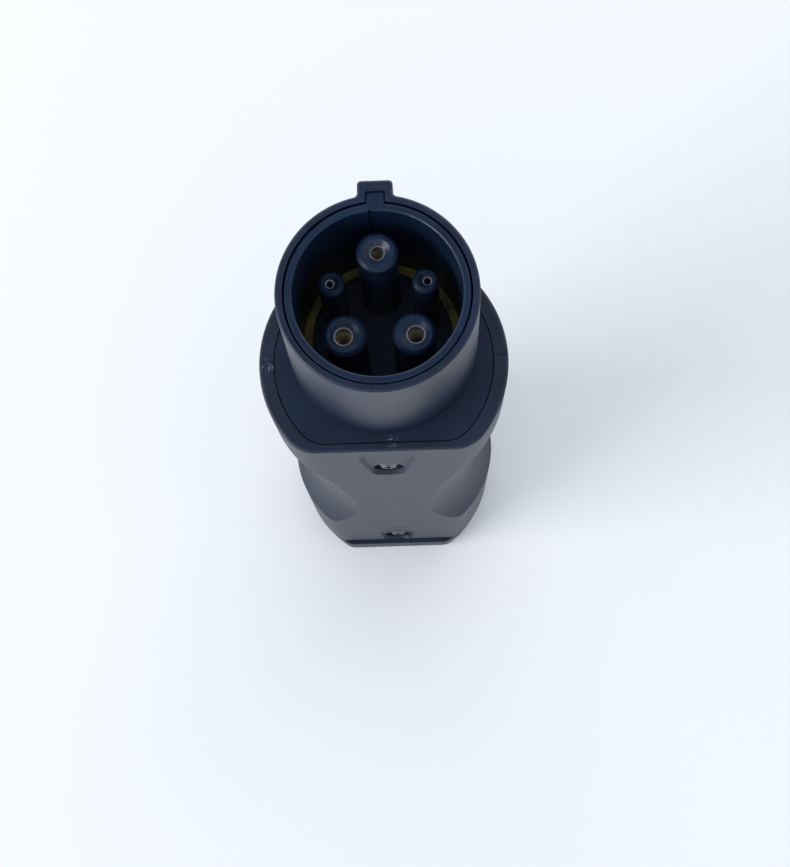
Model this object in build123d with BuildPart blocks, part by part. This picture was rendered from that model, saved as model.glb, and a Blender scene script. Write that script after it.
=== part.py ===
from build123d import *
import os
from math import asin, copysign, degrees, hypot, radians, tan

# Charging adapter: a round five-socket plug above, a five-pin inlet below, and a two-part
# gripped body between them. Millimetres. +Z is up, the origin lies on the nozzle's axis in
# the plane that the adapter stands on, and -Y is the front, where the two screws are.

os.makedirs("parts", exist_ok=True)

# Heights
foot_height = 6.0
body_height = 122.0
nozzle_length = 38.0
shell_bottom = foot_height
shell_top = shell_bottom + body_height
rim_height = shell_top + nozzle_length

# Body outline: a disc with a flat front, wider at the top. The halves part at split_y.
body_y = -5.0
split_y = -4.2
rim_width = 3.35
rim_front_width = 1.85
top_corner = 8.5
bottom_corner = 5.5
wall = 3.0
bottom_round = 2.4
rim_round = 0.6

# Finger scoops: the body is narrowed by a waist whose section is an ellipse
waist_height = 55.5
waist_depth = 4.45
waist_arc_above = 280.0
waist_arc_below = 42.0
waist_reach_below = 30.0
waist_front_share = 1.0
waist_back_share = 1.3

# General clearances
running_gap = 0.1
seam_gap = 0.25
seat_gap = 0.3

# Seam between the halves: the back half's tongue enters a groove in the front half
seam_width = 0.12
tongue_inset = 1.0
tongue_thickness = 1.0
tongue_depth = 1.4
tongue_end = 1.0

# Face plate, set flush in the body's rim
plate_margin = 3.3
plate_front_margin = 2.1
plate_corner = 7.0
plate_boss_margin = 0.6
plate_thickness = 3.0

# Nozzle sleeve and its key
sleeve_wall = 1.6
key_width = 7.7
key_rise = 3.2
key_root_round = 1.0
key_corner_round = 0.9
notch_width = 4.2
notch_rise = 0.65
sleeve_edge_round = 0.6

# Grooves that trap the nozzle and the contact carrier between the halves
upper_rib_thickness = 3.0
nozzle_flange_thickness = 3.4
carrier_flange_thickness = 3.5
lower_rib_thickness = 3.0
neck_margin = 0.1
skirt_room = 1.8

# Contact carrier: liner, floor and five insulating tubes
liner_wall = 1.8
liner_recess = 0.3
liner_groove_x = -1.3
liner_groove_width = 0.5
liner_groove_depth = 0.25
cavity_depth = 38.5
floor_thickness = 5.0
liner_edge_round = 0.45
tube_shift = 0.35
tube_chamfer = 0.7
funnel_depth = 0.8
funnel_lip = 0.25
lip_thickness = 0.4
collar_height = 2.0
collar_overhang = 1.1
contact_gap = 0.05

# Gasket at the bottom of the cavity
gasket_room = 1.1
gasket_width = 1.9
gasket_height = 2.0

# Socket contacts: x, y, depth of the tube's mouth below the rim, tube radius, barrel radius,
# bore radius and wire radius
line_spacing = 15.7
line_y = -6.8
signal_spacing = 21.3
signal_y = 5.6
ground_y = 10.6
line_socket = (8.8, 4.6, 2.9, 1.85, 2.3)
ground_socket = (5.0, 4.5, 2.5, 1.45, 2.0)
signal_socket = (10.3, 2.9, 1.5, 0.8, 1.1)
sockets = {
    "line_socket_1": (-line_spacing / 2, line_y, *line_socket),
    "line_socket_2": (line_spacing / 2, line_y, *line_socket),
    "ground_socket": (0.0, ground_y, *ground_socket),
    "pilot_socket": (signal_spacing / 2, signal_y, *signal_socket),
    "proximity_socket": (-signal_spacing / 2, signal_y, *signal_socket),
}
socket_bore_depth = 20.0
crimp_bore_depth = 7.0

# Crown springs inside the three thick sockets
spring_lead_in = 2.5
spring_length = 12.0
spring_groove = 0.35
spring_thickness = 0.14
spring_waist = 0.3
spring_waist_share = 0.3
spring_slots = 12
spring_slot_width = 0.28
spring_slot_share = 0.75

# Retaining plate under the sockets, and its screws
retainer_gap = 0.4
retainer_thickness = 3.0
retainer_screw_margin = 1.4
retainer_screw_angles = (186, 270, 354)

# Screws: head radius, head height, shank radius; the pilot hole is a little wider
screw_head_radius = 2.2
screw_head_height = 1.7
screw_shank_radius = 1.2
screw_clearance = 0.4
pilot_gap = 0.05
cross_width = 0.7
cross_length = 2.6
cross_depth = 0.9
short_screw_length = 7.0
body_screw_length = 5.2

# Body screws on the front: the upper one's drop below the body's top, the lower one's height
# above its lower edge. Each has a dish above its head, given by level, width and round of its
# top, middle and bottom, on the face and on its floor
upper_screw_drop = 22.1
upper_dish_face = [(17.2, 11.4, 2.0), (12.1, 13.6, 6.0), (-4.9, 7.7, 3.4)]
upper_dish_floor = [(16.5, 10.0, 1.4), (11.8, 12.2, 4.2), (-4.2, 6.4, 2.4)]
lower_screw_height = 5.2
lower_dish_face = [(26.0, 5.2, 2.4), (9.8, 11.0, 8.0), (-4.0, 7.4, 3.3)]
lower_dish_floor = [(6.0, 4.6, 1.7), (3.0, 7.6, 5.6), (-3.5, 6.2, 2.3)]
dish_depth = 0.9
head_depth = 0.8
counterbore_radius = 3.55
screw_pad_margin = 1.2
screw_pad_depth = 1.6
pillar_radius = 3.0
inlet_boss_radius = 4.2
inlet_boss_depth = 2.4

# Inlet housing: D-shaped foot, neck, flange and cup round a five-pin recess
foot_inset = 0.6
foot_toe = 0.9
foot_corner = 4.0
foot_round = 0.6
inlet_rib_thickness = 3.0
inlet_flange_thickness = 2.8
recess_depth = 38.0
recess_front_half = 11.0
recess_front = -17.0
recess_side_half = 18.0
recess_side_front = -3.5
recess_back = 10.0
recess_front_round = 5.0
recess_back_round = 7.5
cup_wall = 2.0
cup_room = 0.8
inlet_floor = 6.0

# Inlet pins: x, y, radius, height of the lower end, wire radius
power_pin_spacing = 19.0
power_pin_y = 3.5
inlet_ground_y = -7.5
inlet_signal_spacing = 16.0
inlet_signal_y = -11.0
power_pin = (4.0, 8.0, 2.3)
inlet_ground = (2.5, 6.0, 2.0)
inlet_signal = (1.6, 12.0, 1.1)
pins = {
    "inlet_power_pin_1": (-power_pin_spacing / 2, power_pin_y, *power_pin),
    "inlet_power_pin_2": (power_pin_spacing / 2, power_pin_y, *power_pin),
    "inlet_ground_pin": (0.0, inlet_ground_y, *inlet_ground),
    "inlet_pilot_pin": (inlet_signal_spacing / 2, inlet_signal_y, *inlet_signal),
    "inlet_proximity_pin": (-inlet_signal_spacing / 2, inlet_signal_y, *inlet_signal),
}
pin_nose_round = 0.8
pin_shoulder = 0.3
pin_collar_overhang = 0.9
pin_collar_height = 2.0
tip_length = 4.0
tip_stem_radius = 1.5
tip_stem_length = 5.0
pin_retainer_thickness = 3.0
pin_crimp_length = 10.0
pin_screw_inset = 2.4
pin_screw_setback = 0.7
pin_back_screw_inset = 2.0
pin_retainer_inset = 0.5

# Crimp barrels, shared by sockets and pins
crimp_wall = 0.7
conductor_gap = 0.1
insulation_thickness = 0.8
bend_share = 0.45

# Resistor soldered across the proximity and ground contacts
resistor_radius = 1.1
resistor_length = 4.0
resistor_rise = 1.9
lead_radius = 0.35

# Levels worked out from the values above
plate_bottom = shell_top - plate_thickness
nozzle_flange_top = plate_bottom - upper_rib_thickness - running_gap
nozzle_flange_bottom = nozzle_flange_top - nozzle_flange_thickness
carrier_flange_bottom = nozzle_flange_bottom - carrier_flange_thickness
lower_rib_top = carrier_flange_bottom - running_gap
lower_rib_bottom = lower_rib_top - lower_rib_thickness
cavity_floor = rim_height - cavity_depth
floor_bottom = cavity_floor - floor_thickness
retainer_bottom = floor_bottom - retainer_thickness
crimp_end_height = floor_bottom - crimp_bore_depth
inlet_rib_top = shell_bottom + inlet_rib_thickness
inlet_flange_bottom = inlet_rib_top + running_gap
inlet_flange_top = inlet_flange_bottom + inlet_flange_thickness
inlet_floor_top = recess_depth + inlet_floor
pin_crimp_top = inlet_floor_top + pin_retainer_thickness + pin_crimp_length
screw_heights = [shell_top - upper_screw_drop, shell_bottom + lower_screw_height]

# Depths behind the body's front, at the screws
head_seat_depth = head_depth + screw_head_height
pad_back_depth = head_seat_depth + screw_pad_depth
lower_boss_depth = pad_back_depth + running_gap
screw_pad_radius = counterbore_radius + screw_pad_margin

# Widths worked out from the inside to the outside: nozzle and rim, then recess and lower end
contact_reach = max(hypot(x, y) + tube_radius for x, y, mouth_depth, tube_radius, *barrel in sockets.values())
gasket_inner_radius = contact_reach + gasket_room
liner_bore = gasket_inner_radius + gasket_width + running_gap
liner_radius = liner_bore + liner_wall
sleeve_bore = liner_radius + seat_gap
sleeve_radius = sleeve_bore + sleeve_wall
key_top = sleeve_radius + key_rise
notch_top = sleeve_radius + notch_rise
lower_rib_bore = liner_bore + skirt_room
neck_radius = sleeve_radius + neck_margin
neck_bore = neck_radius + seat_gap
plate_radius = sleeve_radius + plate_margin
plate_boss_radius = sleeve_radius + plate_boss_margin
plate_front = sleeve_radius + plate_front_margin + body_y
top_radius = plate_radius + seam_gap + rim_width
top_front = plate_front + seam_gap + rim_front_width
recess_corner_x = recess_side_half - recess_back_round
recess_corner_y = recess_back - recess_back_round - body_y
recess_reach = hypot(recess_corner_x, recess_corner_y) + recess_back_round
bottom_radius = recess_reach + cup_wall + cup_room + wall
bottom_front = body_y - recess_front + cup_wall + inlet_boss_depth + lower_boss_depth
foot_radius = bottom_radius - foot_inset
foot_front = bottom_front + foot_toe
waist_share = (waist_height - shell_bottom) / body_height
waist_half_width = bottom_radius + waist_share * (top_radius - bottom_radius) - waist_depth
retainer_radius = liner_bore - retainer_gap
retainer_screw_reach = retainer_radius - screw_head_radius - retainer_screw_margin
retainer_screw_arm = Vector(retainer_screw_reach, 0)
retainer_screw_places = [retainer_screw_arm.rotate(Axis.Z, angle) for angle in retainer_screw_angles]
pin_screw_x = recess_side_half - pin_screw_inset
pin_screw_y = recess_side_front + pin_screw_setback
pin_back_screw_y = recess_back - pin_back_screw_inset
pin_retainer_screw_places = [(pin_screw_x, pin_screw_y), (-pin_screw_x, pin_screw_y), (0, pin_back_screw_y)]


# Outlines

def flat_disc(height, centre_y, radius, front, corner):
    """A disc cut flat at a distance in front of its centre, with rounded corners."""
    with BuildSketch(Plane.XY.offset(height)) as outline:
        with Locations((0, centre_y)):
            Circle(radius)
        with Locations((0, centre_y - front + 2 * radius)):
            Rectangle(4 * radius, 4 * radius, mode=Mode.INTERSECT)
        fillet(outline.vertices().group_by(Axis.Y)[0], corner)
    return outline.sketch


def shell_outline(height, inset=0.0):
    """The body's section at a height, moved inwards by an inset."""
    share = (height - shell_bottom) / body_height
    radius = bottom_radius + share * (top_radius - bottom_radius)
    front = bottom_front + share * (top_front - bottom_front)
    corner = bottom_corner + share * (top_corner - bottom_corner)
    return flat_disc(height, body_y, radius - inset, front - inset, corner - inset)


def plate_outline(height, grow=0.0):
    """The face plate: a flat-fronted disc joined to a round boss behind the nozzle."""
    disc = flat_disc(height, body_y, plate_radius + grow, plate_front + grow, plate_corner + grow)
    with BuildSketch(Plane.XY.offset(height)) as outline:
        add(disc)
        Circle(plate_boss_radius + grow)
    return outline.sketch


def inlet_outline(height, grow=0.0):
    """The recess for the charging plug: a trapezoid in front, straight sides, round back."""
    with BuildSketch(Plane.XY.offset(height)) as outline:
        with BuildLine():
            Polyline(
                (-recess_front_half, recess_front),
                (recess_front_half, recess_front),
                (recess_side_half, recess_side_front),
                (recess_side_half, recess_back),
                (-recess_side_half, recess_back),
                (-recess_side_half, recess_side_front),
                close=True,
            )
        make_face()
        fillet(outline.vertices().group_by(Axis.Y)[-1], recess_back_round)
        fillet(outline.vertices().filter_by(lambda v: v.Y < recess_side_front + 0.01), recess_front_round)
        offset(amount=grow, kind=Kind.ARC, mode=Mode.REPLACE)
    return outline.sketch


def waist(inset, depth_share):
    """An hourglass about the body's axis, flattened or stretched from front to back."""
    half_width = waist_half_width - inset
    rise = rim_height - waist_height
    upper_turn = degrees(asin(rise / waist_arc_above))
    lower_turn = degrees(asin(waist_reach_below / waist_arc_below))
    with BuildPart() as hourglass:
        with BuildSketch(Plane.XZ):
            with BuildLine():
                upper = CenterArc(
                    (half_width + waist_arc_above, waist_height), waist_arc_above, 180, -upper_turn
                )
                lower = CenterArc(
                    (half_width + waist_arc_below, waist_height), waist_arc_below, 180, lower_turn
                )
                Polyline(upper @ 1, (0, rim_height), (0, 0), ((lower @ 1).X, 0), lower @ 1)
            make_face()
        revolve(axis=Axis.Z)
        scale(by=(1, depth_share, 1), about=(0, 0, 0))
    return Pos(0, body_y, 0) * hourglass.part


def body_core(inset, depth_share):
    """The body between its lower and its upper ribs, moved inwards by an inset."""
    with BuildPart() as core:
        add(shell_outline(inlet_rib_top, inset))
        add(shell_outline(lower_rib_bottom, inset))
        loft()
        add(waist(inset, depth_share), mode=Mode.INTERSECT)
    return core.part


def tongue(grow, depth_share):
    """A strip inside the wall, across the seam: the tongue itself, or its groove when grown."""
    middle = (inlet_rib_top + lower_rib_bottom) / 2
    strip_height = lower_rib_bottom - inlet_rib_top - 2 * tongue_end + 2 * grow
    with BuildPart() as strip:
        add(body_core(tongue_inset - grow, depth_share))
        add(body_core(tongue_inset + tongue_thickness + grow, depth_share), mode=Mode.SUBTRACT)
        with Locations((0, split_y, middle)):
            Box(3 * top_radius, 2 * (tongue_depth + grow), strip_height, mode=Mode.INTERSECT)
    return strip.part


def shell_cavity(depth_share):
    """Everything that both halves of the body leave open."""
    with BuildPart() as cavity:
        add(body_core(wall, depth_share))
        add(inlet_outline(shell_bottom, cup_wall + seat_gap))
        extrude(amount=inlet_rib_thickness)
    with BuildPart() as groove:
        add(shell_outline(lower_rib_top, wall))
        add(shell_outline(plate_bottom - upper_rib_thickness, wall))
        loft()
        with BuildSketch(Plane.XY.offset(lower_rib_top)):
            Circle(neck_bore)
        extrude(amount=plate_bottom - lower_rib_top)
        with BuildSketch(Plane.XY.offset(lower_rib_bottom)):
            Circle(lower_rib_bore)
        extrude(amount=lower_rib_thickness)
        add(plate_outline(plate_bottom, seam_gap))
        extrude(amount=plate_thickness)
    return [cavity.part, groove.part]


def shell_half(side, depth_share):
    """One half of the body: side is -1 in front of the split and 1 behind it."""
    with BuildPart() as blank:
        add(shell_outline(shell_bottom))
        add(shell_outline(shell_top))
        loft()
        fillet(blank.edges().group_by(Axis.Z)[0], bottom_round)
        fillet(blank.edges().group_by(Axis.Z)[-1], rim_round)
        add(waist(0, depth_share), mode=Mode.INTERSECT)
        add(shell_cavity(depth_share), mode=Mode.SUBTRACT)
        if side < 0:
            split(bisect_by=Plane.XZ.offset(-split_y), keep=Keep.TOP)
            add(tongue(running_gap, depth_share), mode=Mode.SUBTRACT)
        else:
            split(bisect_by=Plane.XZ.offset(-split_y - seam_width), keep=Keep.BOTTOM)
            add(tongue(0, depth_share))
    return blank.part


def cross_headed_screw(length):
    """A pan-head screw with its head's underside at z = 0 and its shank below."""
    with BuildPart() as screw:
        Cylinder(screw_head_radius, screw_head_height, align=(Align.CENTER, Align.CENTER, Align.MIN))
        fillet(screw.edges().group_by(Axis.Z)[-1], screw_head_height / 3)
        Cylinder(screw_shank_radius, length, align=(Align.CENTER, Align.CENTER, Align.MAX))
        chamfer(screw.edges().group_by(Axis.Z)[0], screw_shank_radius / 2)
        with Locations((0, 0, screw_head_height)):
            Box(cross_length, cross_width, 2 * cross_depth, mode=Mode.SUBTRACT)
            Box(cross_width, cross_length, 2 * cross_depth, mode=Mode.SUBTRACT)
    return screw.part


def front_face_y(height):
    """Where the flat front of the body lies at a height."""
    share = (height - shell_bottom) / body_height
    return body_y - bottom_front - share * (top_front - bottom_front)


def write(piece, name):
    """Label a finished piece and write it to its own file."""
    piece.part.label = name
    export_step(piece.part, f"parts/{name}.step")


# Front half of the body, with a shallow dish above each screw's counterbore

def screw_plane(height, depth):
    """A plane facing forwards at a depth behind the body's front, centred on a screw's axis."""
    origin = (0, front_face_y(height) + depth, height)
    return Plane(origin=origin, x_dir=(1, 0, 0), z_dir=(0, -1, 0))


def dish_outline(height, depth, levels):
    """A section of a screw's dish, symmetric, with a level, a width and a round for each pair."""
    right_side = [(width / 2, level) for level, width, corner in levels]
    left_side = [(-x, level) for x, level in reversed(right_side)]
    with BuildSketch(screw_plane(height, depth)) as outline:
        with BuildLine():
            Polyline(*right_side, *left_side, close=True)
        make_face()
        for level, width, corner in levels:
            fillet(outline.vertices().filter_by(lambda v: abs(v.Y - level) < 0.001), corner)
    return outline.sketch


with BuildPart() as front_shell:
    add(shell_half(-1, waist_front_share))
    for screw_height in screw_heights:
        with BuildSketch(screw_plane(screw_height, pad_back_depth)):
            Circle(screw_pad_radius)
        extrude(amount=screw_pad_depth)
    with BuildSketch(screw_plane(screw_heights[1], pad_back_depth)):
        Circle(inlet_boss_radius + seat_gap)
    extrude(amount=-pad_back_depth, mode=Mode.SUBTRACT)
    dishes = [(upper_dish_face, upper_dish_floor), (lower_dish_face, lower_dish_floor)]
    for screw_height, (dish_face, dish_floor) in zip(screw_heights, dishes):
        add(dish_outline(screw_height, -running_gap, dish_face))
        add(dish_outline(screw_height, dish_depth, dish_floor))
        loft(mode=Mode.SUBTRACT)
        with BuildSketch(screw_plane(screw_height, head_seat_depth)):
            Circle(counterbore_radius)
        extrude(amount=2 * head_seat_depth, mode=Mode.SUBTRACT)
        with BuildSketch(screw_plane(screw_height, head_seat_depth)):
            Circle(screw_shank_radius + screw_clearance)
        extrude(amount=-2 * screw_pad_depth, mode=Mode.SUBTRACT)
write(front_shell, "front_shell")

# Back half of the body, with the pillar that the upper screw bites in

pillar_front = front_face_y(screw_heights[0]) + pad_back_depth + running_gap
pillar_back = body_y + top_radius - wall
with BuildPart() as back_shell:
    add(shell_half(1, waist_back_share))
    with BuildSketch(Plane.XZ.offset(-pillar_back)):
        with Locations((0, screw_heights[0])):
            Circle(pillar_radius)
    extrude(amount=pillar_back - pillar_front)
    with BuildSketch(Plane.XZ.offset(-pillar_front)):
        with Locations((0, screw_heights[0])):
            Circle(screw_shank_radius + pilot_gap)
    extrude(amount=-body_screw_length, mode=Mode.SUBTRACT)
write(back_shell, "back_shell")

# Two equal screws hold the front half

with BuildPart() as body_screws:
    for screw_height in screw_heights:
        add(screw_plane(screw_height, head_seat_depth) * cross_headed_screw(body_screw_length))
write(body_screws, "body_screws")

# Nozzle housing: sleeve with its key, face plate, neck and flange in one moulding

with BuildPart() as nozzle_housing:
    add(plate_outline(plate_bottom))
    extrude(amount=plate_thickness)
    with BuildSketch(Plane.XY.offset(shell_top)):
        Circle(sleeve_radius)
    extrude(amount=seat_gap)
    with BuildSketch(Plane.XY.offset(shell_top + seat_gap)) as sleeve:
        Circle(sleeve_radius)
        with Locations((0, key_top / 2)):
            Rectangle(key_width, key_top)
        fillet(sleeve.vertices().group_by(Axis.Y)[-1], key_corner_round)
        key_roots = sleeve.vertices().filter_by(lambda v: abs(abs(v.X) - key_width / 2) < 0.01)
        fillet(key_roots.group_by(Axis.Y)[0], key_root_round)
    extrude(amount=nozzle_length - seat_gap)
    fillet(nozzle_housing.edges().group_by(Axis.Z)[-1], sleeve_edge_round)
    with BuildSketch(Plane.XY.offset(nozzle_flange_bottom)):
        Circle(neck_radius)
    extrude(amount=plate_bottom - nozzle_flange_bottom)
    add(shell_outline(nozzle_flange_bottom, wall + seat_gap))
    extrude(amount=nozzle_flange_thickness)
    with BuildSketch(Plane.XY.offset(nozzle_flange_bottom)):
        Circle(sleeve_bore)
        with Locations((0, notch_top / 2)):
            Rectangle(notch_width, notch_top)
    extrude(amount=rim_height - nozzle_flange_bottom, mode=Mode.SUBTRACT)
write(nozzle_housing, "nozzle_housing")

# Contact carrier: liner, floor, skirt and flange turned in one, then the five tubes

with BuildPart() as contact_carrier:
    with BuildSketch(Plane.XZ):
        with BuildLine():
            Polyline(
                (0, floor_bottom),
                (liner_bore, floor_bottom),
                (liner_bore, carrier_flange_bottom),
                (neck_radius, carrier_flange_bottom),
                (neck_radius, nozzle_flange_bottom),
                (liner_radius, nozzle_flange_bottom),
                (liner_radius, rim_height - liner_recess),
                (liner_bore, rim_height - liner_recess),
                (liner_bore, cavity_floor),
                (0, cavity_floor),
                close=True,
            )
        make_face()
    revolve(axis=Axis.Z)
    fillet(contact_carrier.edges().group_by(Axis.Z)[-1], liner_edge_round)
    with BuildSketch(Plane.XY.offset(shell_top)):
        with Locations((0, (liner_radius + notch_top - seam_gap) / 2 - seat_gap)):
            Rectangle(notch_width - 2 * seam_gap, notch_top - seam_gap - liner_radius + 2 * seat_gap)
    extrude(amount=nozzle_length - liner_recess)
    with BuildSketch(Plane.XY.offset(cavity_floor + gasket_height)):
        with Locations((liner_groove_x, liner_bore)):
            Rectangle(liner_groove_width, 2 * liner_groove_depth)
    extrude(amount=cavity_depth, mode=Mode.SUBTRACT)
    for x, y, mouth_depth, tube_radius, barrel_radius, bore_radius, wire_radius in sockets.values():
        mouth_height = rim_height - mouth_depth
        tube_x = x - copysign(min(tube_shift, abs(x)), x)
        with BuildSketch(Plane.XY.offset(cavity_floor)):
            with Locations((tube_x, y)):
                Circle(tube_radius)
        extrude(amount=mouth_height - cavity_floor)
        level_faces = contact_carrier.faces().filter_by(Plane.XY)
        chamfer(level_faces.sort_by_distance((tube_x, y, mouth_height))[0].edges(), tube_chamfer)
    for x, y, mouth_depth, tube_radius, barrel_radius, bore_radius, wire_radius in sockets.values():
        mouth_height = rim_height - mouth_depth
        lip_height = mouth_height - funnel_depth
        tube_x = x - copysign(min(tube_shift, abs(x)), x)
        with BuildSketch(Plane.XY.offset(lip_height)):
            with Locations((x, y)):
                Circle(bore_radius + funnel_lip)
        with BuildSketch(Plane.XY.offset(mouth_height)):
            with Locations((tube_x, y)):
                Circle((tube_radius + bore_radius) / 2)
        loft(mode=Mode.SUBTRACT)
        with BuildSketch(Plane.XY.offset(lip_height)):
            with Locations((x, y)):
                Circle(bore_radius + funnel_lip)
        extrude(amount=-lip_thickness, mode=Mode.SUBTRACT)
        with BuildSketch(Plane.XY.offset(floor_bottom)):
            with Locations((x, y)):
                Circle(barrel_radius + contact_gap)
        extrude(amount=lip_height - lip_thickness - floor_bottom, mode=Mode.SUBTRACT)
        with BuildSketch(Plane.XY.offset(floor_bottom)):
            with Locations((x, y)):
                Circle(barrel_radius + collar_overhang + contact_gap)
        extrude(amount=collar_height, mode=Mode.SUBTRACT)
    with BuildSketch(Plane.XY.offset(floor_bottom)):
        with Locations(*retainer_screw_places):
            Circle(screw_shank_radius + pilot_gap)
    extrude(amount=short_screw_length - retainer_thickness + running_gap, mode=Mode.SUBTRACT)
write(contact_carrier, "contact_carrier")

# Gasket on the cavity's floor, against the liner's wall

with BuildPart() as cavity_gasket:
    with BuildSketch(Plane.XY.offset(cavity_floor)):
        Circle(liner_bore - running_gap)
        Circle(gasket_inner_radius, mode=Mode.SUBTRACT)
    extrude(amount=gasket_height)
write(cavity_gasket, "cavity_gasket")

# Sockets: a bored barrel, a collar that seats in the floor, and a crimp barrel below

for name, (x, y, mouth_depth, tube_radius, barrel_radius, bore_radius, wire_radius) in sockets.items():
    barrel_top = rim_height - mouth_depth - funnel_depth - lip_thickness
    conductor_radius = wire_radius - insulation_thickness + conductor_gap
    crimp_radius = conductor_radius + crimp_wall
    with BuildPart() as socket:
        with BuildSketch(Plane.XY.offset(floor_bottom)):
            with Locations((x, y)):
                Circle(barrel_radius)
        extrude(amount=barrel_top - floor_bottom)
        with BuildSketch(Plane.XY.offset(floor_bottom)):
            with Locations((x, y)):
                Circle(barrel_radius + collar_overhang)
        extrude(amount=collar_height)
        with BuildSketch(Plane.XY.offset(crimp_end_height)):
            with Locations((x, y)):
                Circle(crimp_radius)
        extrude(amount=floor_bottom - crimp_end_height)
        with BuildSketch(Plane.XY.offset(barrel_top - socket_bore_depth)):
            with Locations((x, y)):
                Circle(bore_radius)
        extrude(amount=socket_bore_depth, mode=Mode.SUBTRACT)
        with BuildSketch(Plane.XY.offset(crimp_end_height)):
            with Locations((x, y)):
                Circle(conductor_radius)
        extrude(amount=crimp_bore_depth, mode=Mode.SUBTRACT)
        if "line" in name or "ground" in name:
            with BuildSketch(Plane.XY.offset(barrel_top - spring_lead_in - spring_length)):
                with Locations((x, y)):
                    Circle(bore_radius + spring_groove)
            extrude(amount=spring_length, mode=Mode.SUBTRACT)
    write(socket, name)

# Crown springs: a thin waisted sleeve with lengthwise slots, trapped in each socket's groove

spring_half = spring_length / 2 - running_gap
slot_length = 2 * spring_slot_share * spring_half
for name, (x, y, mouth_depth, tube_radius, barrel_radius, bore_radius, wire_radius) in sockets.items():
    if "line" in name or "ground" in name:
        outer = bore_radius + spring_groove - contact_gap
        inner = outer - spring_thickness
        with BuildPart() as spring:
            with BuildSketch(Plane.XZ):
                with BuildLine():
                    Polyline(
                        (outer, -spring_half),
                        (outer - spring_waist, -spring_waist_share * spring_half),
                        (outer - spring_waist, spring_waist_share * spring_half),
                        (outer, spring_half),
                        (inner, spring_half),
                        (inner - spring_waist, spring_waist_share * spring_half),
                        (inner - spring_waist, -spring_waist_share * spring_half),
                        (inner, -spring_half),
                        close=True,
                    )
                make_face()
            revolve(axis=Axis.Z)
            with PolarLocations(outer - spring_waist / 2, spring_slots):
                Box(4 * spring_waist, spring_slot_width, slot_length, mode=Mode.SUBTRACT)
        barrel_top = rim_height - mouth_depth - funnel_depth - lip_thickness
        middle = barrel_top - spring_lead_in - spring_length / 2
        spring.part.position = (x, y, middle)
        write(spring, name.replace("socket", "crown_spring"))

# Plate that holds the sockets' collars up in the carrier's floor

with BuildPart() as contact_retainer:
    with BuildSketch(Plane.XY.offset(retainer_bottom)):
        Circle(retainer_radius)
        for x, y, mouth_depth, tube_radius, barrel_radius, bore_radius, wire_radius in sockets.values():
            crimp_radius = wire_radius - insulation_thickness + conductor_gap + crimp_wall
            with Locations((x, y)):
                Circle(crimp_radius + running_gap, mode=Mode.SUBTRACT)
        with Locations(*retainer_screw_places):
            Circle(screw_shank_radius + screw_clearance, mode=Mode.SUBTRACT)
    extrude(amount=retainer_thickness)
write(contact_retainer, "contact_retainer")

with BuildPart() as retainer_screws:
    for spot in retainer_screw_places:
        place = Plane(origin=(spot.X, spot.Y, retainer_bottom), x_dir=(1, 0, 0), z_dir=(0, 0, -1))
        add(place * cross_headed_screw(short_screw_length))
write(retainer_screws, "retainer_screws")

# Inlet housing: the foot that the adapter stands on, and the cup round the pins

with BuildPart() as inlet_housing:
    add(flat_disc(0, body_y, foot_radius, foot_front, foot_corner))
    extrude(amount=foot_height - running_gap)
    fillet(inlet_housing.edges().group_by(Axis.Z)[0], foot_round)
    add(inlet_outline(foot_height - running_gap, cup_wall))
    extrude(amount=inlet_floor_top - foot_height + running_gap)
    add(shell_outline(inlet_flange_bottom, wall + seat_gap))
    extrude(amount=inlet_flange_thickness)
    with BuildSketch(screw_plane(screw_heights[1], lower_boss_depth)):
        Circle(screw_pad_radius + seat_gap)
    extrude(amount=pad_back_depth, mode=Mode.SUBTRACT)
    with BuildSketch(screw_plane(screw_heights[1], lower_boss_depth)):
        Circle(inlet_boss_radius)
    extrude(until=Until.NEXT, dir=(0, 1, 0))
    add(inlet_outline(0))
    extrude(amount=recess_depth, mode=Mode.SUBTRACT)
    with BuildSketch(screw_plane(screw_heights[1], lower_boss_depth)):
        Circle(screw_shank_radius + pilot_gap)
    extrude(amount=-(body_screw_length - screw_pad_depth), mode=Mode.SUBTRACT)
    for x, y, pin_radius, pin_bottom, wire_radius in pins.values():
        with BuildSketch(Plane.XY.offset(recess_depth)):
            with Locations((x, y)):
                Circle(pin_radius + pin_shoulder + contact_gap)
        extrude(amount=inlet_floor, mode=Mode.SUBTRACT)
        with BuildSketch(Plane.XY.offset(inlet_floor_top - pin_collar_height)):
            with Locations((x, y)):
                Circle(pin_radius + pin_collar_overhang + contact_gap)
        extrude(amount=pin_collar_height, mode=Mode.SUBTRACT)
    with BuildSketch(Plane.XY.offset(inlet_floor_top)):
        with Locations(*pin_retainer_screw_places):
            Circle(screw_shank_radius + pilot_gap)
    extrude(amount=-(short_screw_length - pin_retainer_thickness + running_gap), mode=Mode.SUBTRACT)
write(inlet_housing, "inlet_housing")

# Inlet pins: round nose, shoulder and collar in the floor, crimp barrel above

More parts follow.
